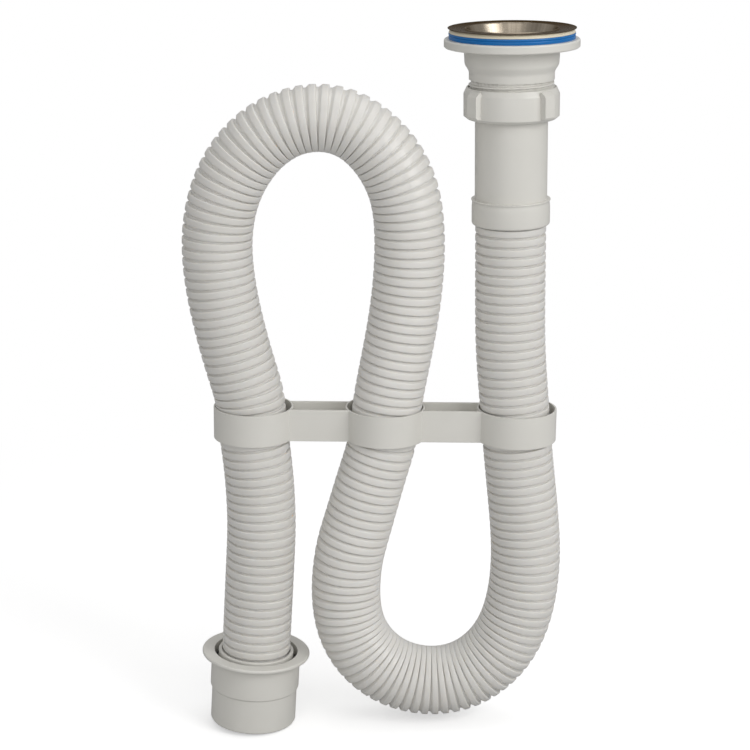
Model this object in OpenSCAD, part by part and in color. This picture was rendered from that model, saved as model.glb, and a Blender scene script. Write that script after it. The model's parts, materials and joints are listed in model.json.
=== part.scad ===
// Flexible sink waste trap: steel strainer, flanged waste body with a union nut,
// ribbed hose bent down, up and over, a three-ring holder and a push-on outlet.
// Origin: centre of the flange gasket's top face, where the sink sits. +Z is up.

/* [Driving sizes] */
// Outer diameter of the tailpiece, which every other diameter follows
tail_d = 40; // [38:0.2:42]
// Distance from one run of the hose to the next in the clip, which the loops follow
clip_pitch = 75; // [72:0.5:80]

/* [Steel strainer] */
// Width of the steel rim round the mouth
rim_w = 9.8; // [9:0.1:12]
// Height of the rim's top above the flange gasket
rim_h = 2.4; // [2:0.1:2.8]
// How far the rim's edge is rolled inwards underneath
rim_roll = 3.2; // [2.6:0.1:3.6]
// How far the mouth stays inside the neck's outer face
mouth_in = 1; // [0.6:0.1:1.2]
// Thickness of the strainer's sheet steel
steel_t = 0.8; // [0.6:0.1:1.1]
// Depth of the strainer cup below the rim
cup_depth = 12.4; // [10:0.1:13]
// How far the cup's wall leans in from its mouth to its floor
cup_lean = 5.2; // [4.6:0.1:6]
// Steel left inside, between and outside the two circles of drain holes
drain_web = 1.33; // [1.2:0.01:1.8]
// Drain holes in the outer circle
drain_holes_out = 12; // [8:1:14]
// Drain holes in the inner circle
drain_holes_in = 6; // [4:1:7]
// Thickness of the thin gasket under the steel rim
rim_gasket_t = 0.5; // [0.5:0.1:1]
// How far the thin gasket stays behind the flange gasket's edge
rim_gasket_inset = 3; // [2.8:0.1:3.4]

/* [Clamping screw] */
// Nominal diameter of the screw
screw_d = 6; // [5:0.5:6]
// Length of the screw under its head
screw_l = 40; // [36:1:48]
// Diameter of the screw's head
screw_head_d = 12; // [10:0.5:13]
// Height of the screw's head
screw_head_h = 3; // [2.4:0.1:3.6]
// Width across the flats of the brass insert nut
insert_af = 10; // [9:0.5:11]
// Height of the brass insert nut
insert_h = 5; // [4:0.5:6]

/* [Waste body] */
// How far the plastic flange stands out beyond its gasket
flange_out = 2.5; // [1.5:0.1:4]
// Thickness of the plastic flange
flange_t = 4.7; // [3:0.1:5]
// How far the flange gasket stays behind the steel rim's edge
gasket_in = 0.5; // [0.2:0.1:1]
// Thickness of the flange gasket
gasket_t = 3.5; // [3:0.1:4.5]
// How far the neck stands out from the plain band
neck_out = 2.8; // [2:0.1:4]
// Length of the neck's straight part
neck_l = 8; // [6:0.5:10]
// Length of the curved taper below the neck
taper_l = 5.8; // [5:0.1:9]
// How far the plain band stays inside the thread's crest
band_in = 0.2; // [0.1:0.1:0.3]
// Length of the plain band above the thread
band_l = 3.5; // [2:0.5:5]
// Wall of the waste body
body_wall = 2.8; // [2.4:0.1:3.2]
// Wall of the waste body under the thread
thread_wall = 2.3; // [2:0.1:2.8]
// How far the pipe thread's crest stands out from the tailpiece
thread_out = 3.6; // [3.5:0.1:4.5]
// Depth of the body's pipe thread
thread_depth = 1.3; // [1:0.1:1.4]
// Length of the body's threaded end
thread_l = 12; // [10:0.1:13]
// Pitch of the pipe thread
thread_pitch = 2.309; // [2:0.001:2.4]
// Diameter of the hub that holds the insert nut
hub_d = 16; // [14:0.5:18]
// Thickness of the arms that carry the hub
arm_t = 2.4; // [2:0.1:3.2]

/* [Union] */
// How far the union nut stands out from the thread's crest
nut_wall = 2.7; // [2.4:0.1:4]
// Height of the union nut
nut_h = 17.2; // [16:0.1:19]
// Thickness of the nut's shoulder under the tailpiece flange
nut_shoulder = 3.5; // [3:0.1:4]
// Height of the chamfer round the nut's top
nut_chamfer = 3.5; // [2:0.1:4]
// How far each grip lug stands out of the nut
lug_out = 3.5; // [2:0.1:5]
// Width of each grip lug
lug_w = 6.8; // [5:0.1:9]
// Turn of the first grip lug from +X
lug_turn = 40; // [0:1:89]
// Thickness of the union gasket
union_gasket_t = 2.5; // [2:0.1:3]
// Thickness of the slip ring under the tailpiece flange
slip_t = 0.8; // [0.6:0.1:1.2]

/* [Tailpiece and upper cuff] */
// Wall of the tailpiece
tail_wall = 2; // [1.6:0.1:2.4]
// Length of the tailpiece below its flange
tail_l = 55.5; // [50:0.5:70]
// Thickness of the tailpiece's top flange
tail_flange_t = 2.5; // [2:0.1:3]
// Wall of the upper cuff
cuff_wall = 1.6; // [1.5:0.1:2.6]
// Height of the upper cuff
cuff_h = 14.2; // [13:0.1:17]
// How far the hose reaches into the upper cuff
cuff_grip = 6.7; // [6:0.1:8]

/* [Hose] */
// How far the hose's ribs stay inside the tailpiece's outer face
hose_slim = 0.3; // [0.2:0.1:0.8]
// Depth of the grooves between the ribs
groove_depth = 2.8; // [2:0.1:3]
// Distance from one rib to the next
rib_pitch = 5.2; // [5.2:0.1:6]
// Distance from the ribs' crests in to the corners of the bore
hose_wall = 3.8; // [3.7:0.1:5]

/* [Holder clip] */
// Height of the holder clip
clip_h = 18.4; // [16:0.1:20]
// Room all round between the hose and a ring
ring_play = 1.9; // [1.9:0.1:2.4]
// Wall of each ring
ring_wall = 1.1; // [1:0.1:2.5]
// Thickness of the plates that join the rings
plate_t = 1.6; // [1.2:0.1:2.5]
// Distance between the two plates' outer faces
plate_span = 19; // [14:0.5:24]
// Lean of the clip, right end down
clip_lean = 1.2; // [0:0.1:1.5]

/* [Outlet] */
// Lean of the outlet, bottom end away from the waste
outlet_lean = 4; // [0:0.5:6]
// Wall of the lower cuff
end_cuff_wall = 1.9; // [1.6:0.1:2.4]
// How far the hose reaches into the lower cuff
end_cuff_grip = 18; // [15:0.5:18.5]
// Room for the rubber ring between the lower cuff and its socket
seal_room = 2.4; // [2:0.1:2.6]
// Wall of the socket, which the skirt shows outside
socket_wall = 1.6; // [1.4:0.1:2.4]
// How far the outlet's flange stands out from the skirt
out_flange_w = 5.5; // [4:0.1:9]
// Thickness of the outlet's flange
out_flange_t = 2.2; // [1.6:0.1:3]
// Length of the outlet's skirt below its flange
skirt_l = 19.3; // [18:0.1:22]
// How far the spigot steps in from the skirt
spigot_in = 1; // [0.8:0.1:1.4]
// Length of the outlet's spigot
spigot_l = 21.8; // [16:0.2:40]
// Wall of the outlet's spigot
spigot_wall = 2; // [1.6:0.1:2.6]
// Height of the rubber ring in the outlet
seal_h = 3.2; // [2.4:0.1:4]
// Depth of the rubber ring below the outlet's flange
seal_depth = 6; // [5:0.5:8]

/* [Hidden] */
$fn = 96;

// Clearances
run_clear = 0.05;       // radial clearance where one piece turns or slides in another
free_clear = 0.35;      // radial clearance beside a piece that moves
pocket_clear = 0.1;     // clearance round the insert nut and the tailpiece's flange
push_clear = 0.1;       // radial clearance of the tailpiece in its cuff
hole_clear = 0.25;      // radial clearance of the screw in its holes
thread_clear = 0.3;     // radial clearance of the two threads
flank_clear = 0.25;     // clearance between the thread's flanks
eps = 0.5;              // overrun of a cut past the face that it opens

// Heights of the waste, from the top down
flange_top = -gasket_t;
flange_bottom = flange_top - flange_t;
neck_bottom = flange_bottom - neck_l;
taper_bottom = neck_bottom - taper_l;
band_bottom = taper_bottom - band_l;
body_bottom = band_bottom - thread_l;
tail_flange_top = body_bottom - union_gasket_t;
tail_flange_bottom = tail_flange_top - tail_flange_t;
slip_bottom = tail_flange_bottom - slip_t;
nut_bottom = slip_bottom - nut_shoulder;
nut_top = nut_bottom + nut_h;
tail_bottom = tail_flange_bottom - tail_l;

// Radii of the waste, from the tailpiece out
tail_r = tail_d / 2;
thread_r = tail_r + thread_out;
root_r = thread_r - thread_depth;
band_r = thread_r - band_in;
neck_r = band_r + neck_out;
mouth_r = neck_r - mouth_in;
rim_r = mouth_r + rim_w;
gasket_r = rim_r - gasket_in;
flange_r = gasket_r + flange_out;
body_bore_r = root_r - thread_wall;
neck_bore_r = neck_r - body_wall;
nut_r = thread_r + nut_wall;
nut_bore_r = thread_r + thread_clear;
nut_crest_r = root_r + thread_clear;
nut_hole_r = tail_r + free_clear;
tail_flange_r = nut_crest_r - pocket_clear;

// Strainer cup
cup_floor_r = mouth_r - cup_lean;
cup_floor_top = rim_h - cup_depth;
cup_floor_bottom = cup_floor_top - steel_t;
screw_head_r = screw_head_d / 2;
cup_hole_r = screw_d / 2 + hole_clear;
drain_hole_d = (cup_floor_r - screw_head_r - 3 * drain_web) / 2;

// Hub of the waste body
hub_drop = 5.5;
hub_roof = 3.5;
insert_bottom = band_bottom - hub_drop;
insert_top = insert_bottom + insert_h;
hub_top = insert_top + hub_roof;
hub_bottom = insert_bottom;
arm_h = hub_top - hub_bottom;

// Upper cuff, with a rib inside between the tailpiece and the hose
cuff_rib = 1;
cuff_bore_r = tail_r + push_clear;
cuff_rib_r = tail_r - tail_wall;
cuff_r = cuff_bore_r + cuff_wall;
hose_top = tail_bottom - cuff_rib;
cuff_bottom = hose_top - cuff_grip;
cuff_top = cuff_bottom + cuff_h;

// Hose and clip radii
crest_r = tail_r - hose_slim;
hose_d = 2 * crest_r;
groove_r = crest_r - groove_depth;
hose_bore_r = crest_r - hose_wall;
ring_bore_r = crest_r + ring_play;

// Outlet, measured down its own leaning axis from the flange's top face
end_gap = 1.2;
end_cuff_l = out_flange_t + skirt_l - end_gap;
end_cuff_r = cuff_bore_r + end_cuff_wall;
end_cuff_rib_in = 2.2;
end_clear = 0.05;        // between the hose's end and the rib inside the cuff
end_cuff_rib_r = cuff_bore_r - end_cuff_rib_in;
seal_groove = 1;
seal_play = 0.1;
seal_seat_r = end_cuff_r - seal_groove;
socket_r = end_cuff_r + seal_room;
skirt_r = socket_r + socket_wall;
out_flange_r = skirt_r + out_flange_w;
spigot_r = skirt_r - spigot_in;
ledge_t = 2;
ledge_lap = 3;
ledge_r = end_cuff_r - ledge_lap;
skirt_bottom = -out_flange_t - skirt_l;
step_h = 1;
spigot_bottom = skirt_bottom - spigot_l;

// Places of the outlet and the clip and the route of the hose, all [x, z] from the
// middle of the hose's top end, as shares of the clip's pitch. The route goes down
// the right leg, round the U, up the middle leg, over the arch, down the left leg.
// Its points lie closer together where a leg passes through the clip.
outlet_place = [-1.976, -3.47733];
clip_place = [-0.94533, -1.618];
right_leg = [[0.032, -1.4133], [0.0707, -1.8933], [0.12, -2.4133], [0.124, -2.8933]];
u_bend = [[-0.012, -3.4], [-0.3893, -3.7267], [-0.8867, -3.6893], [-1.2187, -3.3107],
          [-1.2493, -2.8], [-1.1733, -2.4667]];
middle_leg = [[-1.08, -2.1467], [-1.0067, -1.9067], [-0.96, -1.72], [-0.9267, -1.48],
              [-0.88, -1.2267], [-0.82, -0.92], [-0.7667, -0.5467]];
arch = [[-0.7533, -0.0933], [-0.864, 0.336], [-1.2133, 0.6707], [-1.6733, 0.6547],
        [-2.0173, 0.344], [-2.1667, -0.08]];
left_leg = [[-2.1667, -0.4933], [-2.1067, -0.8533], [-2.0333, -1.16], [-1.9733, -1.4],
            [-1.9533, -1.6133], [-1.9333, -1.8267], [-1.9133, -2.08], [-1.9067, -2.4]];
outlet_pos = [outlet_place[0] * clip_pitch, 0, hose_top + outlet_place[1] * clip_pitch];
clip_pos = [clip_place[0] * clip_pitch, 0, hose_top + clip_place[1] * clip_pitch];
route_step = 38;
end_dir = [-sin(outlet_lean), -cos(outlet_lean)];
hose_end = outlet_place * clip_pitch + (end_cuff_grip - end_clear) * end_dir;
straight_top = [0, -hose_d];
straight_end = hose_end - hose_d * end_dir;
goal = concat(
    [[0, route_step - hose_d], straight_top, [0, -route_step - hose_d]],
    concat(right_leg, u_bend, middle_leg, arch, left_leg) * clip_pitch,
    [straight_end - route_step * end_dir, straight_end, straight_end + route_step * end_dir]
);

// A uniform cubic B-spline: its control points are eased until it meets the route
easing_passes = 12;
function on_spline(c, i) = (c[i - 1] + 4 * c[i] + c[i + 1]) / 6;
function eased(c) = [for (i = [0:len(c) - 1])
    i < 3 || i > len(c) - 4 ? c[i] : c[i] + goal[i] - on_spline(c, i)];
function relaxed(c, passes) = passes == 0 ? c : relaxed(eased(c), passes - 1);
controls = relaxed(goal, easing_passes);
function span_point(p, t) =
    (pow(1 - t, 3) * p[0] + (3 * t * t * t - 6 * t * t + 4) * p[1]
    + (-3 * t * t * t + 3 * t * t + 3 * t + 1) * p[2] + t * t * t * p[3]) / 6;
span_steps = 16;
curve = [for (i = [0:len(controls) - 4], k = [0:span_steps - 1])
    span_point([for (j = [0:3]) controls[i + j]], k / span_steps)];
centreline = concat([[0, 0]], curve, [straight_end, hose_end]);

// Length along the centreline up to each of its points, and points at any length
function running_length(p, i = 1, sum = [0]) = i >= len(p) ? sum
    : running_length(p, i + 1, concat(sum, [sum[i - 1] + norm(p[i] - p[i - 1])]));
lengths = running_length(centreline);
hose_l = lengths[len(lengths) - 1];
x_at = [for (i = [0:len(lengths) - 1]) [lengths[i], centreline[i][0]]];
z_at = [for (i = [0:len(lengths) - 1]) [lengths[i], centreline[i][1]]];
function hose_point(s) = [lookup(s, x_at), lookup(s, z_at)];
dir_reach = 2;
function hose_dir(s) =
    let (d = hose_point(min(s + dir_reach, hose_l)) - hose_point(max(s - dir_reach, 0)))
    d / norm(d);

// Ribs of the hose: plain ends in the cuffs, then a groove and a crest for each rib
rib_room = hose_l - cuff_grip - end_cuff_grip;
rib_count = floor(rib_room / rib_pitch);
rib_start = cuff_grip + (rib_room - rib_count * rib_pitch) / 2;
rib_rings = [for (k = [0:rib_count - 1], half = [0, 1])
    [rib_start + (k + half / 2) * rib_pitch, half == 0 ? groove_r : crest_r]];
outer_rings = concat([[0, crest_r], [rib_start - rib_pitch / 2, crest_r]], rib_rings,
    [[rib_start + rib_count * rib_pitch, groove_r], [hose_l, crest_r]]);
bore_every = 2;
bore_rings = concat([[0, hose_bore_r]],
    [for (k = [1:bore_every:rib_count - 1]) [rib_start + k * rib_pitch, hose_bore_r]],
    [[hose_l, hose_bore_r]]);
hose_sides = 8;

// Corners of one ring of the hose, flats towards the bend's inside and outside
function ring_corners(ring) =
    let (p = hose_point(ring[0]), d = hose_dir(ring[0]))
    [for (k = [0:hose_sides - 1])
        let (a = (k + 0.5) * 360 / hose_sides, side = ring[1] * cos(a))
        [p[0] + side * d[1], ring[1] * sin(a), p[1] - side * d[0]]];

// Two triangles for each side between two rings of n corners that start at a and b
function strip(a, b, n, flip) = [for (k = [0:n - 1], half = [0, 1])
    let (m = (k + 1) % n,
         tri = half == 0 ? [a + k, b + k, b + m] : [a + k, b + m, a + m])
    flip ? [tri[2], tri[1], tri[0]] : tri];

// Least gap of the hose to itself: between passes, and between two crests in a bend
crest_marks = [for (k = [0:rib_count - 1]) hose_point(rib_start + (k + 0.5) * rib_pitch)];
pass_diameters = 3;     // two ribs further apart than this lie on different passes
far_ribs = ceil(pass_diameters * hose_d / rib_pitch);
pass_gap = min([for (i = [0:rib_count - 1 - far_ribs], j = [i + far_ribs:rib_count - 1])
    norm(crest_marks[i] - crest_marks[j])]) - hose_d;
crest_corners = [for (k = [0:rib_count - 1])
    ring_corners([rib_start + (k + 0.5) * rib_pitch, crest_r])];
crest_gap = min([for (k = [0:rib_count - 2], c = [0:hose_sides - 1])
    norm(crest_corners[k][c] - crest_corners[k + 1][c])]);
echo(hose_length = hose_l, ribs = rib_count, least_gap_of_passes = pass_gap,  // hose
         least_gap_of_crests = crest_gap);

// Helical thread ridge
thread_steps = 36;
thread_sink = 0.1;
ridge_half = 0.3;
flank_half = 0.55;
nut_ridge_half = 0.21;
runout = 12;
body_thread_margin = [1.1, 1.2];
nut_thread_margin = [1.2, 1.6];
body_thread_start = body_bottom + body_thread_margin[0];
body_thread_turns = (band_bottom - body_thread_margin[1] - body_thread_start) / thread_pitch;
nut_thread_start = tail_flange_top + nut_thread_margin[0];
nut_thread_top = nut_top - nut_thread_margin[1];
// Half a pitch between the two ridges' middles keeps body and nut in mesh
nut_thread_shift = nut_thread_start - body_thread_start - thread_pitch / 2;
nut_thread_phase = 360 * nut_thread_shift / thread_pitch;
nut_thread_turns = (nut_thread_top - nut_thread_start) / thread_pitch;

// One section of a ridge: two corners at its foot and two at its crest
function ridge_section(i, count, r_foot, r_crest, half_foot, half_crest, z) =
    let (a = 360 * i / thread_steps,
         fade = min(1, (i + 1) / runout, (count - i + 1) / runout),
         r = r_foot + (r_crest - r_foot) * fade,
         h = half_foot + (half_crest - half_foot) * fade)
    [for (p = [[r_foot, -half_foot], [r, -h], [r, h], [r_foot, half_foot]])
        [p[0] * cos(a), p[0] * sin(a), z + thread_pitch * i / thread_steps + p[1]]];

module thread_ridge(z, turns, r_foot, r_crest, half_foot, half_crest) {
    count = floor(turns * thread_steps);
    points = [for (i = [0:count])
        each ridge_section(i, count, r_foot, r_crest, half_foot, half_crest, z)];
    last = 4 * count;
    outwards = r_crest > r_foot;
    sides = [for (i = [0:count - 1]) each strip(4 * i, 4 * i + 4, 4, outwards)];
    ends = [[0, 1, 2], [0, 2, 3], [last + 2, last + 1, last], [last + 3, last + 2, last]];
    polyhedron(points, concat(sides,
        outwards ? ends : [for (f = ends) [f[2], f[1], f[0]]]), convexity = 10);
}

module ring(r_out, r_in, z_low, z_high) {
    rotate_extrude() translate([r_in, z_low]) square([r_out - r_in, z_high - z_low]);
}

module at_outlet() {
    translate(outlet_pos) rotate([0, outlet_lean, 0]) children();
}

module strainer_cup() {
    edge = 0.3;           // rounding of the rim's outer edge and of the mouth
    lip_h = 0.8;          // height of the mouth's lip
    lip_lean = 0.4;       // how far the lip leans out
    floor_curve = 1;      // curve between the cup's wall and its floor
    outer_curve = 0.6;    // the same on the outside
    under = mouth_r + steel_t;
    color("#8c8378") difference() {
        rotate_extrude() polygon([
            [0, cup_floor_top], [cup_floor_r - floor_curve, cup_floor_top],
            [cup_floor_r, cup_floor_top + floor_curve],
            [mouth_r - lip_lean, rim_h - lip_h], [mouth_r, rim_h - edge / 2],
            [mouth_r + edge, rim_h], [rim_r - edge, rim_h], [rim_r, rim_h - edge],
            [rim_r - rim_roll, rim_gasket_t], [under + lip_lean, rim_gasket_t],
            [under - lip_lean, rim_gasket_t - floor_curve],
            [cup_floor_r + steel_t, cup_floor_top + outer_curve],
            [cup_floor_r - outer_curve, cup_floor_bottom], [0, cup_floor_bottom]
        ]);
        translate([0, 0, cup_floor_bottom - eps])
            cylinder(h = steel_t + 2 * eps, r = cup_hole_r);
        drain_circle(drain_holes_out, cup_floor_r - drain_web - drain_hole_d / 2);
        drain_circle(drain_holes_in, screw_head_r + drain_web + drain_hole_d / 2);
    }
}

module drain_circle(count, r) {
    for (k = [0:count - 1])
        rotate(360 * k / count) translate([r, 0, cup_floor_bottom - eps])
            cylinder(h = steel_t + 2 * eps, d = drain_hole_d, $fn = 32);
}

module strainer_screw() {
    shank_r = screw_d / 2 - run_clear;
    slot_w = 1.4;
    slot_depth = screw_head_h / 2;
    tip = 1;
    brim_h = 0.8;         // straight edge under the raised head
    shoulder = [1, 0.6];  // in from the head's edge, and down from its top
    crown_in = 2.6;
    color("#b9b4ab") difference() {
        rotate_extrude() polygon([
            [0, cup_floor_top - screw_l], [shank_r - tip, cup_floor_top - screw_l],
            [shank_r, cup_floor_top - screw_l + tip], [shank_r, cup_floor_top],
            [screw_head_r, cup_floor_top], [screw_head_r, cup_floor_top + brim_h],
            [screw_head_r - shoulder[0], cup_floor_top + screw_head_h - shoulder[1]],
            [screw_head_r - crown_in, cup_floor_top + screw_head_h],
            [0, cup_floor_top + screw_head_h]
        ]);
        translate([-screw_head_d, -slot_w / 2, cup_floor_top + screw_head_h - slot_depth])
            cube([2 * screw_head_d, slot_w, slot_depth + eps]);
    }
}

module rim_gasket() {
    cup_clear = 1.2;
    color("#d9d6cf")
        ring(gasket_r - rim_gasket_inset, mouth_r + steel_t + cup_clear, 0, rim_gasket_t);
}

module flange_gasket() {
    cup_clear = 0.7;
    inner_r = mouth_r + steel_t + cup_clear;
    lip = 1.3;            // depth of the upper lip
    groove = 0.5;         // width and depth of the groove under it
    foot_in = 0.1;
    top_edge = 0.3;
    color("#0f62b4") rotate_extrude() polygon([
        [inner_r, flange_top], [gasket_r - foot_in, flange_top],
        [gasket_r - foot_in, -lip - groove], [gasket_r - groove, -lip - groove],
        [gasket_r - groove, -lip], [gasket_r, -lip],
        [gasket_r, -top_edge], [gasket_r - top_edge, 0], [inner_r, 0]
    ]);
}

module waste_body() {
    edge = 1;             // rounding of the flange's top edge
    foot_edge = 0.6;      // chamfer of its lower edge
    neck_draft = 0.4;
    mouth_flare = 1.4;    // the bore opens this much towards the flange's top
    bore_lead = 1;
    arm_sink = 0.5;
    color("#dcdad5") difference() {
        union() {
            rotate_extrude() polygon(concat(
                [[neck_bore_r + mouth_flare, flange_top]],
                [for (a = [90:-15:0])
                    [flange_r - edge + edge * cos(a), flange_top - edge + edge * sin(a)]],
                [[flange_r, flange_bottom + foot_edge], [flange_r - foot_edge, flange_bottom],
                 [neck_r, flange_bottom]],
                // The neck drafts in a little, then curves in like a wave to the band
                [for (t = [0:0.125:1])
                    [neck_r - neck_draft - (neck_r - neck_draft - band_r) * (1 - cos(180 * t)) / 2,
                     neck_bottom - taper_l * t]],
                [[band_r, band_bottom], [root_r, band_bottom],
                 [root_r, body_bottom], [body_bore_r, body_bottom], [body_bore_r, taper_bottom],
                 [neck_bore_r, neck_bottom + bore_lead], [neck_bore_r, flange_bottom]]
            ));
            thread_ridge(body_thread_start, body_thread_turns,
                         root_r - thread_sink, thread_r, ridge_half + flank_half, ridge_half);
            translate([0, 0, hub_bottom]) cylinder(h = arm_h, d = hub_d);
            for (a = [0, 90]) rotate(a + 45)
                translate([-body_bore_r - arm_sink, -arm_t / 2, hub_bottom])
                    cube([2 * (body_bore_r + arm_sink), arm_t, arm_h]);
        }
        translate([0, 0, hub_bottom - eps]) cylinder(h = arm_h + 2 * eps, r = cup_hole_r);
        translate([0, 0, hub_bottom - eps])
            cylinder(h = insert_h + eps, d = (insert_af + 2 * pocket_clear) / cos(30), $fn = 6);
    }
}

module insert_nut() {
    color("#b08d4a") translate([0, 0, insert_bottom]) difference() {
        cylinder(h = insert_h, d = insert_af / cos(30), $fn = 6);
        translate([0, 0, -eps]) cylinder(h = insert_h + 2 * eps, d = screw_d);
    }
}

module union_nut() {
    chamfer_in = 1.7;
    foot_in = 1.9;
    foot_h = 1.5;
    lug_r = nut_r + lug_out;
    lug_root = 1;         // how deep a lug's root lies in the nut
    lug_lead = 0.2;
    lug_edge = [0.6, 0.9];
    lug_top = [2.2, 0.3, 2.6];
    lug_foot = [1.8, 2, 3.2];
    color("#dcdad5") union() {
        rotate_extrude() polygon([
            [nut_bore_r, nut_top], [nut_r - chamfer_in, nut_top], [nut_r, nut_top - nut_chamfer],
            [nut_r, nut_bottom + foot_h], [nut_r - foot_in, nut_bottom], [nut_hole_r, nut_bottom],
            [nut_hole_r, slip_bottom], [nut_bore_r, slip_bottom]
        ]);
        rotate(nut_thread_phase)
            thread_ridge(nut_thread_start, nut_thread_turns, nut_bore_r + thread_sink, nut_crest_r,
                         thread_pitch / 2 - ridge_half - flank_clear, nut_ridge_half);
        for (k = [0:3]) rotate(lug_turn + 90 * k)
            rotate([90, 0, 0]) linear_extrude(height = lug_w, center = true) polygon([
                [nut_r - lug_root, nut_top - lug_top[0]], [nut_r + lug_lead, nut_top - lug_top[1]],
                [lug_r - lug_edge[0], nut_top - lug_top[2]],
                [lug_r, nut_top - lug_top[2] - lug_edge[1]], [lug_r, nut_bottom + lug_foot[2]],
                [lug_r - lug_root, nut_bottom + lug_foot[1]],
                [nut_r - lug_root, nut_bottom + lug_foot[0]]
            ]);
    }
}

module slip_ring() {
    slip_out = 0.5;
    color("#c9cdd0") ring(tail_flange_r + slip_out, nut_hole_r, slip_bottom, tail_flange_bottom);
}

module union_gasket() {
    side_clear = 0.4;
    lap = 1.6;
    color("#3a3b3d")
        ring(nut_crest_r - side_clear, body_bore_r - lap, tail_flange_top, body_bottom);
}

module tailpiece() {
    color("#dcdad5") rotate_extrude() polygon([
        [tail_r - tail_wall, tail_flange_top], [tail_flange_r, tail_flange_top],
        [tail_flange_r, tail_flange_bottom], [tail_r, tail_flange_bottom],
        [tail_r, tail_bottom], [tail_r - tail_wall, tail_bottom]
    ]);
}

module upper_cuff() {
    lip = 0.3;
    lip_h = [0.5, 1.2];   // straight part of the lip, and its whole height
    chamfer = 1;
    color("#dcdad5") difference() {
        rotate_extrude() polygon([
            [cuff_rib_r, cuff_top], [cuff_r + lip, cuff_top], [cuff_r + lip, cuff_top - lip_h[0]],
            [cuff_r, cuff_top - lip_h[1]], [cuff_r, cuff_bottom + chamfer],
            [cuff_r - chamfer / 2, cuff_bottom], [cuff_rib_r, cuff_bottom]
        ]);
        translate([0, 0, tail_bottom])
            cylinder(h = cuff_top - tail_bottom + eps, r = cuff_bore_r);
        translate([0, 0, cuff_bottom - eps])
            cylinder(h = cuff_grip + eps, r = cuff_bore_r);
    }
}

module hose() {
    n = hose_sides;
    outer_points = [for (q = outer_rings) each ring_corners(q)];
    bore_points = [for (q = bore_rings) each ring_corners(q)];
    b = len(outer_points);
    last = b - n;
    bore_last = b + len(bore_points) - n;
    faces = concat(
        [for (i = [0:len(outer_rings) - 2]) each strip(n * i, n * i + n, n, false)],
        [for (i = [0:len(bore_rings) - 2]) each strip(b + n * i, b + n * i + n, n, true)],
        strip(b, 0, n, false),
        strip(last, bore_last, n, false)
    );
    color("#dad8d2") translate([0, 0, hose_top])
        polyhedron(concat(outer_points, bore_points), faces, convexity = 20);
}

module holder_clip() {
    plate_y = (plate_span - plate_t) / 2;
    color("#dcdad5") translate(clip_pos) rotate([0, clip_lean, 0]) difference() {
        union() {
            for (k = [-1:1]) translate([k * clip_pitch, 0, -clip_h / 2])
                cylinder(h = clip_h, r = ring_bore_r + ring_wall);
            for (side = [-1, 1])
                translate([-clip_pitch, side * plate_y - plate_t / 2, -clip_h / 2])
                    cube([2 * clip_pitch, plate_t, clip_h]);
        }
        for (k = [-1:1]) translate([k * clip_pitch, 0, -clip_h / 2 - eps])
            cylinder(h = clip_h + 2 * eps, r = ring_bore_r);
    }
}

module lower_cuff() {
    proud = 0.5;          // how far the cuff's end stands above the flange
    top_edge = 0.4;
    foot_edge = 1;
    groove_low = -seal_depth - seal_h - 2 * seal_play;
    color("#dcdad5") at_outlet() rotate_extrude() polygon([
        [cuff_bore_r, proud], [end_cuff_r - top_edge, proud], [end_cuff_r, proud - top_edge],
        [end_cuff_r, -seal_depth], [seal_seat_r, -seal_depth],
        [seal_seat_r, groove_low], [end_cuff_r, groove_low],
        [end_cuff_r, foot_edge - end_cuff_l], [end_cuff_r - foot_edge, -end_cuff_l],
        [end_cuff_rib_r, -end_cuff_l], [end_cuff_rib_r, -end_cuff_grip],
        [cuff_bore_r, -end_cuff_grip]
    ]);
}

module outlet_seal() {
    low = -seal_depth - seal_play - seal_h;
    color("#2f3032") at_outlet()
        ring(socket_r - run_clear, seal_seat_r + run_clear, low, low + seal_h);
}

module outlet_adapter() {
    top_edge = 0.6;
    low_edge = 0.5;
    step_edge = 0.3;
    lead = 1.2;
    bore_r = spigot_r - spigot_wall;
    color("#dcdad5") at_outlet() rotate_extrude() polygon([
        [socket_r, 0], [out_flange_r - top_edge, 0], [out_flange_r, -top_edge],
        [out_flange_r, low_edge - out_flange_t], [out_flange_r - low_edge, -out_flange_t],
        [skirt_r, -out_flange_t], [skirt_r, skirt_bottom],
        [spigot_r + step_edge, skirt_bottom - step_h + step_edge],
        [spigot_r, skirt_bottom - step_h], [spigot_r, spigot_bottom + lead],
        [spigot_r - lead / 2, spigot_bottom], [bore_r, spigot_bottom],
        [bore_r, -end_cuff_l - ledge_t], [ledge_r, -end_cuff_l - ledge_t],
        [ledge_r, -end_cuff_l], [socket_r, -end_cuff_l]
    ]);
}

strainer_cup();
strainer_screw();
rim_gasket();
flange_gasket();
waste_body();
insert_nut();
union_nut();
slip_ring();
union_gasket();
tailpiece();
upper_cuff();
hose();
holder_clip();
lower_cuff();
outlet_seal();
outlet_adapter();
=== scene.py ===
# %% [markdown]
# # A flexible sink waste trap, dressed for the camera
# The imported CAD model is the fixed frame. It holds every size and every joint, so each
# piece below is put where the frame says, in metres, and rides on a body of the frame.

# %% Load the frame
import json
import math

import bpy
import numpy as np
from mathutils import Matrix, Vector


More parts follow.
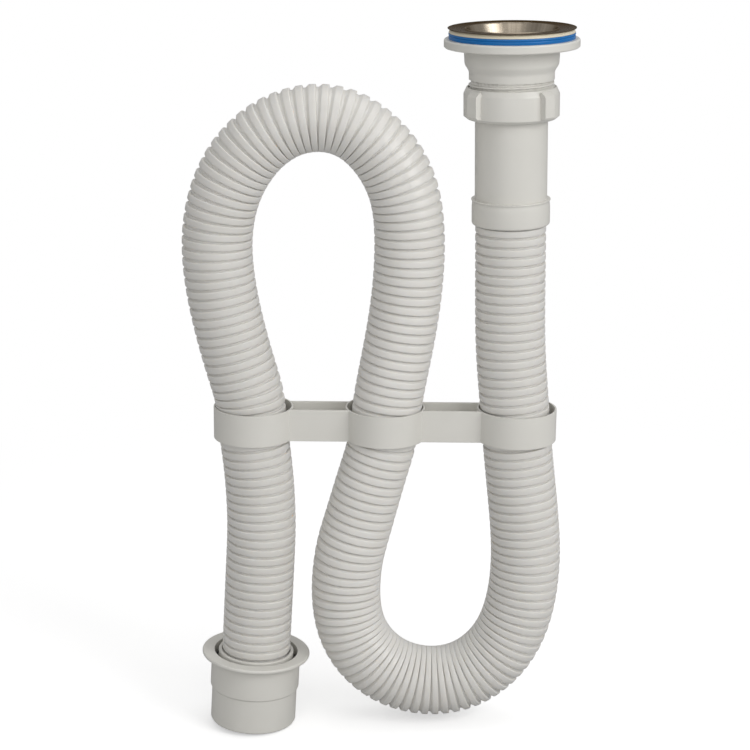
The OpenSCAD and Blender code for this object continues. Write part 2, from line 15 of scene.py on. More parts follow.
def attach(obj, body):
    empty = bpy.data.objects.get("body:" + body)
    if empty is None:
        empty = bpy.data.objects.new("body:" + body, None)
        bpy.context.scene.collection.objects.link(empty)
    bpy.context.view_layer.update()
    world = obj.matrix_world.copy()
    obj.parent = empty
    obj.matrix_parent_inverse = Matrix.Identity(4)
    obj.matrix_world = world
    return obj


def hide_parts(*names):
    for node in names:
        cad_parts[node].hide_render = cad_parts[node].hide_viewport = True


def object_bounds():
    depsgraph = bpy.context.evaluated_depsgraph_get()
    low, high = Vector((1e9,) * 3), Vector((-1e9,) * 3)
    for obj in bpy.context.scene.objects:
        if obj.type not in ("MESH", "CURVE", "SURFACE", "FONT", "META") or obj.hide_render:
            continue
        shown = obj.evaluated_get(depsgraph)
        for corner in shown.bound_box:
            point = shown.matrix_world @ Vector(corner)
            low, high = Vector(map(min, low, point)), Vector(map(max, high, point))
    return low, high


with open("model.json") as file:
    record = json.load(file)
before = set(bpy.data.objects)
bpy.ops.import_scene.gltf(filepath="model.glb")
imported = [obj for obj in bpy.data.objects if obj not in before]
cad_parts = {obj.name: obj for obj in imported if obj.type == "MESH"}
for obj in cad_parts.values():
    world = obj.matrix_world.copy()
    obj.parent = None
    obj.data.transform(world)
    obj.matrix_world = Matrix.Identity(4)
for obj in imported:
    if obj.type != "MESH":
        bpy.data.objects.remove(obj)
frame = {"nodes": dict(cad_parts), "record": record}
cad_low, cad_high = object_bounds()
MM = 0.001
print("CAD box in mm:", [round(v / MM, 1) for v in (*cad_low, *cad_high)])

# %% [markdown]
# ## The camera
# The photograph looks slightly down on a tall, flat object from about 1.1 m away. The
# camera's place, its pitch and a small roll came from fitting the round rims, whose true
# circles show as ellipses. A long lens keeps the perspective as gentle as in the photo.

# %% Camera
CAMERA_PLACE = (-76.34, -1119.4, 128.43)
CAMERA_PITCH = 16.0
CAMERA_ROLL = 0.65
LENS = 98.54
SENSOR = 36.0

camera = bpy.data.objects.new("camera", bpy.data.cameras.new("camera"))
bpy.context.scene.collection.objects.link(camera)
camera.data.lens = LENS
camera.data.sensor_width = SENSOR
camera.matrix_world = (
    Matrix.Translation(Vector(CAMERA_PLACE) * MM)
    @ Matrix.Rotation(math.radians(90 - CAMERA_PITCH), 4, "X")
    @ Matrix.Rotation(math.radians(-CAMERA_ROLL), 4, "Z")
)
bpy.context.scene.camera = camera
print(f"camera {CAMERA_PLACE} mm, {CAMERA_PITCH} degrees down, lens {LENS} mm")

# %% [markdown]
# ## Helpers for finishes
# Colours are written as sRGB hex values, as a paint chart gives them, and turned to the
# linear values that a shader works with. One helper adds a node, sets it and links it, so
# a finish reads as a short list of nodes. Patterns are placed by the object's own
# coordinates in millimetres, so that their scales are real sizes.


# %% Finish helpers
def linear(hex_colour):
    """The linear colour of an sRGB hex value."""
    parts = [int(hex_colour[i : i + 2], 16) / 255 for i in (1, 3, 5)]
    return [c / 12.92 if c <= 0.04045 else ((c + 0.055) / 1.055) ** 2.4 for c in parts] + [1.0]


def add_node(finish, kind, settings=None, **links):
    """Adds a node to a finish. A socket goes by its name, or as i0, i1 and so on by its place.

    It takes a number, a colour or another node's output.
    """
    node = finish.node_tree.nodes.new(kind)
    for key, value in (settings or {}).items():
        setattr(node, key, value)
    for key, value in links.items():
        by_place = key[0] == "i" and key[1:].isdigit()
        socket = node.inputs[int(key[1:]) if by_place else key.replace("_", " ")]
        if isinstance(value, bpy.types.NodeSocket):
            finish.node_tree.links.new(value, socket)
        else:
            socket.default_value = value
    return node


def new_finish(name):
    """A material with only an output, and its object coordinates in millimetres."""
    finish = bpy.data.materials.new(name)
    finish.use_nodes = True
    finish.node_tree.nodes.clear()
    place = add_node(finish, "ShaderNodeTexCoord").outputs["Object"]
    mapping = add_node(finish, "ShaderNodeMapping", Vector=place, Scale=(1 / MM,) * 3)
    return finish, mapping.outputs["Vector"]


def close_finish(finish, shader):
    """Links the last shader to the output."""
    add_node(finish, "ShaderNodeOutputMaterial", Surface=shader.outputs[0])
    return finish


# A mix of colours has its colour sockets at places 6 and 7, and its colour at output 2. A
# map range has the numbers that it maps from at 1 and 2, and those that it maps to at 3 and 4.
COLOURS = {"data_type": "RGBA"}
MIXED = 2
print("white as a linear colour:", linear("#FFFFFF"))


# %% [markdown]
# ## White moulded polypropylene
# Waste fittings are injection moulded in polypropylene. The melt flows into a polished
# steel tool, so the skin is glossy with a slightly waxy softness, and the flow leaves very
# faint clouds a couple of centimetres wide. A fine grain of under half a millimetre breaks
# the highlights a little, as small sink marks do. Polypropylene also lets light in a
# millimetre or two and out again, which fills narrow grooves with a soft glow. Moulded
# rubber has the same clouds and grain, with its own colour and less gloss.


# %% Moulded polypropylene
CLOUD_MM = 24
POLYPROPYLENE_IOR = 1.49
LIGHT_DEPTH_MM = 1.6
# The real grain is about 0.1 mm wide, too fine to show. It is drawn 0.3 to 0.5 mm wide.


def polypropylene(name, dark, light, roughness, grain_mm, grain_depth_mm, glow=0.0):
    """A moulded finish, for the hard plastics and the rubbers."""
    finish, place = new_finish(name)
    cloud = add_node(finish, "ShaderNodeTexNoise", Vector=place, Scale=1 / CLOUD_MM, Detail=2.0)
    grain = add_node(finish, "ShaderNodeTexNoise", Vector=place, Scale=1 / grain_mm, Detail=1.0)
    clouds = cloud.outputs["Fac"]
    dull = add_node(finish, "ShaderNodeMapRange", i0=clouds, i3=roughness - 0.03, i4=roughness + 0.05)
    colour = add_node(finish, "ShaderNodeMix", COLOURS, i0=clouds, i6=linear(dark), i7=linear(light))
    depth = grain_depth_mm * MM
    bump = add_node(finish, "ShaderNodeBump", Height=grain.outputs["Fac"], Distance=depth, Strength=0.5)
    shader = add_node(
        finish,
        "ShaderNodeBsdfPrincipled",
        Base_Color=colour.outputs[MIXED],
        Roughness=dull.outputs[0],
        IOR=POLYPROPYLENE_IOR,
        Subsurface_Weight=glow,
        Subsurface_Radius=(1.0, 0.95, 0.85),
        Subsurface_Scale=LIGHT_DEPTH_MM * MM,
        Normal=bump.outputs[0],
    )
    return close_finish(finish, shader)


# Arguments: name, darker and lighter colour, roughness, width and depth of the grain in mm
# Injection moulded from a polished tool: warm white with broad, soft highlights
moulded_polypropylene = polypropylene("moulded_polypropylene", "#D4D2CB", "#DCDAD4", 0.3, 0.4, 0.02)
# Blown against a corrugated mould: a thin wall that light gets into, so it looks whiter
hose_polypropylene = polypropylene("blown_polypropylene", "#DAD8D3", "#E2E0DC", 0.33, 0.5, 0.03, glow=0.5)
# Moulded nitrile rubber: matt and nearly black
black_rubber = polypropylene("moulded_black_rubber", "#202123", "#2A2B2D", 0.6, 0.4, 0.03)
# Moulded and dyed rubber: deep blue with a satin sheen
blue_rubber = polypropylene("moulded_blue_rubber", "#0065A8", "#0872BA", 0.4, 0.5, 0.03)
# Foamed polyethylene, cut from sheet: a dull cream
pale_foam = polypropylene("pale_foam", "#DCD2B8", "#E6DDC8", 0.5, 0.3, 0.04)
# Moulded nylon without a dye: a cool, slightly see-through grey white
nylon = polypropylene("natural_nylon", "#C4C7C4", "#D2D4D1", 0.35, 0.4, 0.02)
print("moulded finishes:", len(bpy.data.materials))

# %% [markdown]
# ## Metals
# The screw and the brass insert are turned from bar, and the tool leaves fine rings on
# them. Noise that is read along the radius alone gives the rings.


# %% Turned metals
# The tool's real rings are about 0.1 mm apart, too fine to show, so they are drawn at 0.3
RING_MM = 0.3
RING_DEPTH = 0.01 * MM
RING_STRENGTH = 0.6


def flat_radius(finish, place):
    """A place without its height, and its distance from the Z axis."""
    parts = add_node(finish, "ShaderNodeSeparateXYZ", Vector=place)
    flat = add_node(finish, "ShaderNodeCombineXYZ", X=parts.outputs[0], Y=parts.outputs[1]).outputs[0]
    radius = add_node(finish, "ShaderNodeVectorMath", {"operation": "LENGTH"}, i0=flat)
    return flat, radius.outputs["Value"]


def tool_rings(finish, radius):
    """A pattern of fine rings, and the normal that follows it."""
    along = add_node(finish, "ShaderNodeCombineXYZ", X=radius)
    rings = add_node(finish, "ShaderNodeTexNoise", Vector=along.outputs[0], Scale=1 / RING_MM, Detail=3.0)
    height = rings.outputs["Fac"]
    bump = add_node(finish, "ShaderNodeBump", Height=height, Distance=RING_DEPTH, Strength=RING_STRENGTH)
    return height, bump.outputs[0]


def turned_metal(name, dark, light, roughness):
    """A metal with the rings of a lathe's tool."""
    finish, place = new_finish(name)
    flat, radius = flat_radius(finish, place)
    rings, normal = tool_rings(finish, radius)
    dull = add_node(finish, "ShaderNodeMapRange", i0=rings, i3=roughness - 0.06, i4=roughness + 0.1)
    colour = add_node(finish, "ShaderNodeMix", COLOURS, i0=rings, i6=linear(dark), i7=linear(light))
    shader = add_node(
        finish,
        "ShaderNodeBsdfPrincipled",
        Base_Color=colour.outputs[MIXED],
        Roughness=dull.outputs[0],
        Metallic=1.0,
        Normal=normal,
    )
    return close_finish(finish, shader)


# Turned stainless bar: cool grey, with highlights drawn out across the rings
screw_steel = turned_metal("turned_stainless_steel", "#A7A39C", "#C2BEB7", 0.3)
# Turned brass bar: warm yellow, a little duller
brass = turned_metal("turned_brass", "#A8823C", "#C59D52", 0.32)
print("turned finishes:", screw_steel.name, brass.name)

# %% [markdown]
# ## Pressed stainless steel
# The strainer is drawn from flat sheet. The drawing pulls fine streaks down the cup's wall,
# and the rim is brushed round its circle afterwards. So the pattern is one of streaks by
# angle inside the mouth and one of rings outside it. The colour also carries painted
# reflection: the wall's streaks and broad patches are painted light and dark, and the rim is
# painted dark brown for the dark surroundings that it reflects.


# %% Pressed steel
# Streaks are as wide as the wrinkles of a drawn wall, about 1.5 mm, and the patches of painted
# reflection, light and dark, between them about 11 mm. The streaks' light and dark tones are
# painted reflection on the real wrinkles.
MOUTH_R = 25.7
STREAK_MM = 1.5
REFLECTION_PATCH_MM = 11
STREAK_SHARE = 0.55


def pressed_steel(name, mouth_mm):
    """Streaks and patches of painted reflection on the wall inside the mouth, and brushed rings on a rim
    painted dark outside it.
    """
    finish, place = new_finish(name)
    flat, radius = flat_radius(finish, place)
    rings, normal = tool_rings(finish, radius)
    around = add_node(finish, "ShaderNodeVectorMath", {"operation": "NORMALIZE"}, i0=flat)
    arc = add_node(finish, "ShaderNodeMapping", Vector=around.outputs[0], Scale=(mouth_mm,) * 3).outputs[0]
    streaks = add_node(finish, "ShaderNodeTexNoise", Vector=arc, Scale=1 / STREAK_MM, Detail=4.0)
    painted_reflection_patches = add_node(finish, "ShaderNodeTexNoise", Vector=arc, Scale=1 / REFLECTION_PATCH_MM, Detail=1.0)
    painted_reflection_patch = add_node(finish, "ShaderNodeMapRange", i0=painted_reflection_patches.outputs["Fac"], i3=-0.15, i4=0.6)
    painted_reflection_share = add_node(
        finish,
        "ShaderNodeMath",
        {"operation": "MULTIPLY_ADD"},
        i0=streaks.outputs["Fac"],
        i1=STREAK_SHARE,
        i2=painted_reflection_patch.outputs[0],
    ).outputs[0]
    # The wall runs from dark brown to pale by the streaks and patches: painted reflection of dark and
    # bright surroundings on the drawn wall's wrinkles.
    wall = add_node(
        finish, "ShaderNodeMix", COLOURS, i0=painted_reflection_share, i6=linear("#50463A"), i7=linear("#D2C6B4")
    ).outputs[MIXED]
    # The rim's dark brown is painted shade for the dark surroundings that the rim reflects; the rings in it
    # are its real brushing.
    rim = add_node(
        finish, "ShaderNodeMix", COLOURS, i0=rings, i6=linear("#5A4F43"), i7=linear("#857869")
    ).outputs[MIXED]
    inside = add_node(finish, "ShaderNodeMapRange", i0=radius, i1=mouth_mm + 0.3, i2=mouth_mm - 0.1)
    colour = add_node(finish, "ShaderNodeMix", COLOURS, i0=inside.outputs[0], i6=rim, i7=wall)
    dull = add_node(finish, "ShaderNodeMapRange", i0=rings, i3=0.2, i4=0.36)
    shader = add_node(
        finish,
        "ShaderNodeBsdfPrincipled",
        Base_Color=colour.outputs[MIXED],
        Roughness=dull.outputs[0],
        Metallic=1.0,
        # The tint darkens the rim where it is seen at a low angle: painted shade for the dark surroundings
        # that it reflects there
        Specular_Tint=linear("#A0968A"),
        Normal=normal,
    )
    return close_finish(finish, shader)


# Drawn and brushed stainless sheet: a brushed rim painted dark, round a streaked wall whose bright and dark
# tones are painted reflection
brushed_steel = pressed_steel("pressed_stainless_steel", MOUTH_R)
print("pressed finish:", brushed_steel.name)

# %% [markdown]
# ## Finishes on the CAD nodes
# Every CAD node gets the finish of its real material. Some of them are replaced further
# down by a fuller piece, which takes over the node's finish, its slot and its body.

# %% Finishes on the nodes
FINISHES = {
    "strainer_cup": brushed_steel,
    "strainer_screw": screw_steel,
    "rim_gasket": pale_foam,
    "flange_gasket": blue_rubber,
    "waste_body": moulded_polypropylene,
    "insert_nut": brass,
    "union_nut": moulded_polypropylene,
    "slip_ring": nylon,
    "union_gasket": black_rubber,
    "tailpiece": moulded_polypropylene,
    "upper_cuff": moulded_polypropylene,
    "hose": hose_polypropylene,
    "holder_clip": moulded_polypropylene,
    "lower_cuff": moulded_polypropylene,
    "outlet_seal": black_rubber,
    "outlet_adapter": moulded_polypropylene,
}
for node_name, finish in FINISHES.items():
    mesh = frame["nodes"][node_name].data
    mesh.materials.clear()
    mesh.materials.append(finish)
print("nodes with a finish:", len(FINISHES))

# %% [markdown]
# ## Helpers for pieces
# An edit tool works on the selected piece, so each piece is picked first. A new piece that
# stands for a CAD node takes over all that belongs to the node: its finish, its material
# slot and the body that carries it.

# %% Piece helpers
BODY_OF = {node: body for body, nodes in frame["record"]["behaviour"]["bodies"].items() for node in nodes}
MERGE_WITHIN = 0.002 * MM


def pick(piece):
    """Makes a piece the active one, and the only one that is selected."""
    bpy.ops.object.select_all(action="DESELECT")
    piece.select_set(True)
    bpy.context.view_layer.objects.active = piece


def smooth(piece, degrees=35):
    """Smooth shading, but for edges sharper than so many degrees."""
    pick(piece)
    bpy.ops.object.shade_smooth_by_angle(angle=math.radians(degrees))


def apply_modifier(piece, kind, **settings):
    """Adds a modifier to the picked piece, sets it and applies it."""
    bpy.ops.object.modifier_add(type=kind)
    modifier = piece.modifiers[-1]
    for key, value in settings.items():
        setattr(modifier, key, value)
    bpy.ops.object.modifier_apply(modifier=modifier.name)


def dress(piece, node_name):
    """Lets a new piece stand for a CAD node, with its finish and its body."""
    piece.data.materials.clear()
    piece.data.materials.append(FINISHES[node_name])
    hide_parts(node_name)
    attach(piece, BODY_OF[node_name])


# %% [markdown]
# ## Moulded edges
# A mould can't have perfectly sharp corners, and neither has a pressed or moulded part:
# every edge is rounded by a few tenths of a millimetre, and that round is what catches the
# light. The CAD solids have sharp edges. A copy of each is merged, its flat triangles are
# dissolved to whole faces, and a small bevel rounds what is sharper than 30 degrees. Normals
# weighted by face area then keep the big faces calm beside the small ones of the bevel.


# %% Moulded edges
FLAT_WITHIN = math.radians(0.5)
SHARP_EDGE = math.radians(30)
SMOOTH_DEGREES = 32


def rounded(node_name, width_mm):
    """A copy of a CAD node with its edges rounded."""
    mesh = frame["nodes"][node_name].data.copy()
    piece = bpy.data.objects.new(node_name + "_moulded", mesh)
    bpy.context.scene.collection.objects.link(piece)
    pick(piece)
    bpy.ops.object.mode_set(mode="EDIT")
    bpy.ops.mesh.select_all(action="SELECT")
    bpy.ops.mesh.remove_doubles(threshold=MERGE_WITHIN)
    bpy.ops.mesh.dissolve_limited(angle_limit=FLAT_WITHIN)
    bpy.ops.object.mode_set(mode="OBJECT")
    apply_modifier(
        piece, "BEVEL", width=width_mm * MM, segments=2, limit_method="ANGLE", angle_limit=SHARP_EDGE
    )
    smooth(piece, SMOOTH_DEGREES)
    apply_modifier(piece, "WEIGHTED_NORMAL", keep_sharp=True)
    dress(piece, node_name)
    print(node_name, "moulded:", len(piece.data.polygons), "faces")


# Width of each round in mm
EDGE_ROUNDS = {
    "waste_body": 0.3,
    "union_nut": 0.45,
    "tailpiece": 0.2,
    "holder_clip": 0.3,
    "lower_cuff": 0.3,
    "outlet_adapter": 0.4,
}
for node_name, width in EDGE_ROUNDS.items():
    rounded(node_name, width)

# %% [markdown]
# ## Turning a piece from its outline
# Round parts are best drawn as half a section. A circle is laid at the outline's first
# point, extruded to the next point and resized there, all the way round the section, and
# the last ring is merged with the first. This is a lathe with plain edit tools.


# %% Lathe
def lathe(name, outline, segments=128):
    """Turns a closed outline of (radius, height) in mm round the Z axis."""
    bpy.ops.object.select_all(action="DESELECT")
    bpy.ops.mesh.primitive_circle_add(vertices=segments, radius=outline[0][0] * MM, location=(0, 0, 0))
    piece = bpy.context.object
    piece.name = name
    bpy.ops.object.mode_set(mode="EDIT")
    bpy.ops.mesh.select_all(action="SELECT")
    bpy.ops.transform.translate(value=(0, 0, outline[0][1] * MM))
    for (radius, height), (next_radius, next_height) in zip(outline, outline[1:] + outline[:1]):
        rise = (0, 0, (next_height - height) * MM)
        bpy.ops.mesh.extrude_region_move(TRANSFORM_OT_translate={"value": rise})
        share = next_radius / radius
        bpy.ops.transform.resize(value=(share, share, 1), center_override=(0, 0, 0))
    bpy.ops.mesh.select_all(action="SELECT")
    bpy.ops.mesh.remove_doubles(threshold=MERGE_WITHIN)
    bpy.ops.mesh.normals_make_consistent(inside=False)
    bpy.ops.object.mode_set(mode="OBJECT")
    print(name, "turned:", len(piece.data.polygons), "faces")
    return piece


# %% [markdown]
# ## The strainer
# A strainer is drawn from one disc of sheet. Its rim comes out as a shallow dish: highest
# at the rolled outer edge, lower towards the mouth, where the tool leaves a fine bead. So
# the outline is one thin strip of sheet, bent as the press bends it, and the lathe turns it.

# %% Strainer
# An outline is a list of (radius, height) in mm
STRAINER_OUTLINE = [
    (3.25, -10), (19.2, -10), (19.75, -9.8), (20.0, -9.2), (24.7, 1.3), (24.75, 1.6),
    (24.9, 2.0), (25.15, 2.2), (25.5, 2.2), (25.75, 2.0), (25.95, 1.78), (34.4, 2.25), (34.8, 2.38),
    (35.0, 2.3), (34.95, 2.1), (34.6, 1.95), (26.9, 1.4), (26.2, 0.6), (25.6, -0.5),
    (20.8, -9.4), (19.4, -10.8), (3.25, -10.8),
]  # fmt: skip
strainer = lathe("pressed_strainer", STRAINER_OUTLINE)

# %% [markdown]
# ## The drain holes
# The holes are punched last, through the finished floor, and so they are here. Cylinders
# stand where the punches go, all in one mesh, and one boolean modifier cuts them all out.
# Cutting in one go keeps the floor's faces cleaner than eighteen cuts would.

# %% Drain holes
# Number of holes in each circle and the circle's radius, then the cutters' size in mm
HOLE_RINGS = [(12, 16.17), (6, 9.83)]
HOLE_R = 2.5
PLATE_MIDDLE = -10.4
CUTTER_DEPTH = 3
places = []
for holes, ring_r in HOLE_RINGS:
    for i in range(holes):
        way_round = 2 * math.pi * i / holes
        places.append(
            (ring_r * MM * math.cos(way_round), ring_r * MM * math.sin(way_round), PLATE_MIDDLE * MM)
        )
# The first cutter is the object, and the others are added to it in edit mode
cutter_size = {"vertices": 32, "radius": HOLE_R * MM, "depth": CUTTER_DEPTH * MM}
bpy.ops.object.select_all(action="DESELECT")
bpy.ops.mesh.primitive_cylinder_add(location=places[0], **cutter_size)
cutter = bpy.context.object
bpy.ops.object.transform_apply(location=True)
for place in places[1:]:
    bpy.context.view_layer.objects.active = cutter
    bpy.ops.object.mode_set(mode="EDIT")
    bpy.ops.mesh.primitive_cylinder_add(location=place, **cutter_size)
    bpy.ops.object.mode_set(mode="OBJECT")
pick(strainer)
apply_modifier(strainer, "BOOLEAN", operation="DIFFERENCE", object=cutter)
bpy.data.objects.remove(cutter)
smooth(strainer, SMOOTH_DEGREES)
dress(strainer, "strainer_cup")
print("strainer faces after punching:", len(strainer.data.polygons))

# %% [markdown]
# ## The gaskets and the cuff
# Under the steel rim a pale gasket bulges out and down over the blue one's edge, which
# shows as a cream band.
# The blue gasket's rim is moulded with fine steps that press into the sink, and its upper lip
# stands a little further out. The cuff is glued over the tube; the mould leaves a thin
# proud lip at its top with a shallow neck under it.

# %% Gaskets and cuff
PALE_OUTLINE = [
    (27.2, 0), (31.5, 0), (34.2, -0.2), (34.35, -0.05), (34.2, 0.5), (33.4, 1.6),
    (33.2, 1.78), (27.2, 1.4),
]  # fmt: skip
GASKET_OUTLINE = [
    (26.7, -0.02), (31.5, -0.02), (34.1, -0.22), (34.4, -0.35), (34.5, -0.6), (34.5, -1.15),
    (34.35, -1.3), (34.1, -1.4), (34.0, -1.65), (34.3, -1.82), (34.4, -2.0), (34.4, -2.4),
    (34.25, -2.55), (34.4, -2.7), (34.4, -3.3), (34.25, -3.5), (26.7, -3.5),
]  # fmt: skip
CUFF_OUTLINE = [
    (20.0, -91.5), (21.6, -91.5), (21.93, -91.62), (22.0, -91.9), (21.8, -92.3), (21.4, -92.7),
    (21.35, -93.0), (21.5, -93.9), (21.65, -95.0), (21.7, -96.2), (21.7, -104.5), (21.55, -105.1),
    (21.1, -105.6), (20.8, -105.7), (19.75, -105.7), (19.75, -105.0), (20.0, -104.7),
    (20.0, -99.0), (18.0, -99.0), (18.0, -98.0), (20.0, -98.0),
]  # fmt: skip
for name, outline, node_name in (
    ("squeezed_gasket", PALE_OUTLINE, "rim_gasket"),
    ("stepped_gasket", GASKET_OUTLINE, "flange_gasket"),
    ("lipped_cuff", CUFF_OUTLINE, "upper_cuff"),
):
    piece = lathe(name, outline)
    smooth(piece, 40)
    dress(piece, node_name)

# %% [markdown]
# ## The hose's route
# The hose is one fixed length of blown pipe. Its middle line goes straight down out of the
# upper cuff, round the lower bend, up through the clip, over the arch and down into the
# outlet. The points are the same as in the CAD source, as shares of the clip's pitch. A
# cubic B-spline runs near its control points but not through them, so the controls are
# eased a dozen times until the curve does.

# %% Route
# Every place is (x, z) in mm from the middle of the hose's top end
CLIP_PITCH = 75.0
HOSE_TOP = -99.0
STRAIGHT_END = 39.4
OUTLET_PLACE = np.array([-1.976, -3.47733]) * CLIP_PITCH
OUTLET_LEAN = math.radians(4)
END_GRIP = 17.95
ROUTE_STEP = 38.0
EASING_PASSES = 12
SPAN_STEPS = 16
ROUTE = np.array([
    [0.032, -1.4133], [0.0707, -1.8933], [0.12, -2.4133], [0.124, -2.8933],
    [-0.012, -3.4], [-0.3893, -3.7267], [-0.8867, -3.6893], [-1.2187, -3.3107],
    [-1.2493, -2.8], [-1.1733, -2.4667], [-1.08, -2.1467], [-1.0067, -1.9067],
    [-0.96, -1.72], [-0.9267, -1.48], [-0.88, -1.2267], [-0.82, -0.92],
    [-0.7667, -0.5467], [-0.7533, -0.0933], [-0.864, 0.336], [-1.2133, 0.6707],
    [-1.6733, 0.6547], [-2.0173, 0.344], [-2.1667, -0.08], [-2.1667, -0.4933],
    [-2.1067, -0.8533], [-2.0333, -1.16], [-1.9733, -1.4], [-1.9533, -1.6133],
    [-1.9333, -1.8267], [-1.9133, -2.08], [-1.9067, -2.4],
]) * CLIP_PITCH  # fmt: skip

end_way = np.array([-math.sin(OUTLET_LEAN), -math.cos(OUTLET_LEAN)])
hose_end = OUTLET_PLACE + END_GRIP * end_way
straight_end = hose_end - STRAIGHT_END * end_way
goal = np.vstack([
    [[0, ROUTE_STEP - STRAIGHT_END], [0, -STRAIGHT_END], [0, -ROUTE_STEP - STRAIGHT_END]],
    ROUTE,
    [straight_end - ROUTE_STEP * end_way, straight_end, straight_end + ROUTE_STEP * end_way],
])  # fmt: skip
controls = goal.copy()
for _ in range(EASING_PASSES):
    on_curve = (controls[:-2] + 4 * controls[1:-1] + controls[2:]) / 6
    eased = controls.copy()
    eased[3:-3] += goal[3:-3] - on_curve[2:-2]
    controls = eased
shares = np.arange(SPAN_STEPS)[:, None] / SPAN_STEPS
spans = [
    ((1 - shares) ** 3 * a + (3 * shares**3 - 6 * shares**2 + 4) * b
     + (-3 * shares**3 + 3 * shares**2 + 3 * shares + 1) * c + shares**3 * d) / 6
    for a, b, c, d in zip(controls[:-3], controls[1:-2], controls[2:-1], controls[3:])
]  # fmt: skip
line = np.vstack([[[0, 0]], *spans, [straight_end, hose_end]])
marks = np.concatenate([[0], np.cumsum(np.linalg.norm(np.diff(line, axis=0), axis=1))])
HOSE_LENGTH = marks[-1]
print(f"the hose is {HOSE_LENGTH:.0f} mm long")

# %% [markdown]
# ## Measures along the hose
# The ribs need to know at each point along the route which way it runs and how sharply it
# turns. Both are taken from 4000 fine points and averaged over a few millimetres, so that
# no rib kinks.

# %% Measures along the hose
FINE_POINTS = 4000
WINDOW = 25
fine = np.linspace(0, HOSE_LENGTH, FINE_POINTS)
fine_x = np.interp(fine, marks, line[:, 0])
fine_z = np.interp(fine, marks, line[:, 1])
way = np.column_stack([np.gradient(fine_x, fine), np.gradient(fine_z, fine)])
window = np.hanning(WINDOW) / np.hanning(WINDOW).sum()
half = WINDOW // 2
padded = np.vstack([np.repeat(way[:1], half, 0), way, np.repeat(way[-1:], half, 0)])
way = np.column_stack([np.convolve(padded[:, i], window, "valid") for i in (0, 1)])
way /= np.linalg.norm(way, axis=1)[:, None]
turn = np.unwrap(np.arctan2(way[:, 1], way[:, 0]))
curving = np.convolve(np.pad(np.gradient(turn, fine), half, "edge"), window, "valid")
print(f"the tightest bend has a radius of {1 / np.abs(curving).max():.0f} mm")

# %% [markdown]
# ## Where the ribs are
# The lower bend carries the water's weight in use, and in the photo its ribs stand closer
# together. So the ribs are counted off along the hose at a rate that rises there.

# %% Places of the ribs
RIB_PITCH = 5.2
UPPER_GRIP = 6.7
LOWER_GRIP = 18.0
RIB_MARGIN = 0.2
DENSE_FROM, DENSE_TO, DENSE_EASE = 250.0, 405.0, 25.0
DENSE_GAIN = 0.14
RIBS = int((HOSE_LENGTH - UPPER_GRIP - LOWER_GRIP) // RIB_PITCH)
ease_in = 1 / (1 + np.exp(-(fine - DENSE_FROM) / DENSE_EASE * 4))
ease_out = 1 / (1 + np.exp((fine - DENSE_TO) / DENSE_EASE * 4))
rate = 1 + DENSE_GAIN * ease_in * ease_out
free = (fine >= UPPER_GRIP + RIB_MARGIN) & (fine <= HOSE_LENGTH - LOWER_GRIP - RIB_MARGIN)
counted = np.cumsum(rate * free)
counted = counted / counted[-1] * RIBS
rib_marks = np.interp(np.arange(RIBS) + 0.5, counted, fine)
print("ribs:", RIBS)

# %% [markdown]
# ## The hose's ribs
# The real hose is blown against a corrugated mould: flat crests, one steep and one
# sloping side, and narrow grooves. Where it bends, the grooves open on the outside and
# close on the inside, while the crests keep most of their width. A curve with a bevel
# can't do that, so the skin is written ring by ring, and each corner of a ring finds its
# own place along the route.

# %% Rings of the skin
SIDES = 56
CREST_R = 19.7
FLOOR_R = 18.0
BORE_R = 15.9
# How strongly a crest's width is held in a bend, and the share of the flattening that
# comes out as width
HOLD = 0.7
SIDEWAYS = 0.6
# Along the hose from a rib's middle, radius, and 1 where the width is held in a bend.
# The side towards the sink is steep, the other one slopes.
RIB_PROFILE = [
    (-2.15, FLOOR_R, 1), (-1.98, 19.2, 1), (-1.9, 19.5, 1), (-1.65, CREST_R, 1),
    (1.3, CREST_R, 1), (1.6, 19.55, 1), (1.8, 19.3, 1), (2.55, FLOOR_R, 0),
]  # fmt: skip
# Along the hose: how much fuller it is where it is pushed together, how much slimmer where
# the clip slides down over it, and how it flattens at the arch, where it is drawn out
GIRTH_AT = [135, 200, 430, 476, 494, 510, 930, 1000]
GIRTH = [1.0, 1.02, 1.02, 0.985, 0.985, 1.0, 1.0, 1.012]
FLAT_AT, FLAT = [600, 650, 680, 720, 755, 800], [0, 0.02, 0.06, 0.06, 0.01, 0]
angles = np.arange(SIDES) * 2 * math.pi / SIDES


def ring(mark, offset, radius, held=0):
    """The corners of one ring round the route: offset is along it, from the rib's middle."""
    girth = np.interp(mark, GIRTH_AT, GIRTH)
    flat = np.interp(mark, FLAT_AT, FLAT)
    in_plane = radius * girth * (1 - flat) * np.cos(angles)
    across = radius * girth * (1 + SIDEWAYS * flat) * np.sin(angles)
    stretch = 1 - np.interp(mark, fine, curving) * in_plane
    keep = stretch**-HOLD if held else 1.0
    at = np.clip(mark + offset * np.interp(mark, fine, 1 / rate) * keep, 0, HOSE_LENGTH)
    wx, wz = np.interp(at, fine, way[:, 0]), np.interp(at, fine, way[:, 1])
    x = np.interp(at, fine, fine_x) - wz * in_plane
    z = np.interp(at, fine, fine_z) + wx * in_plane
    return np.column_stack([x, across, z + HOSE_TOP])


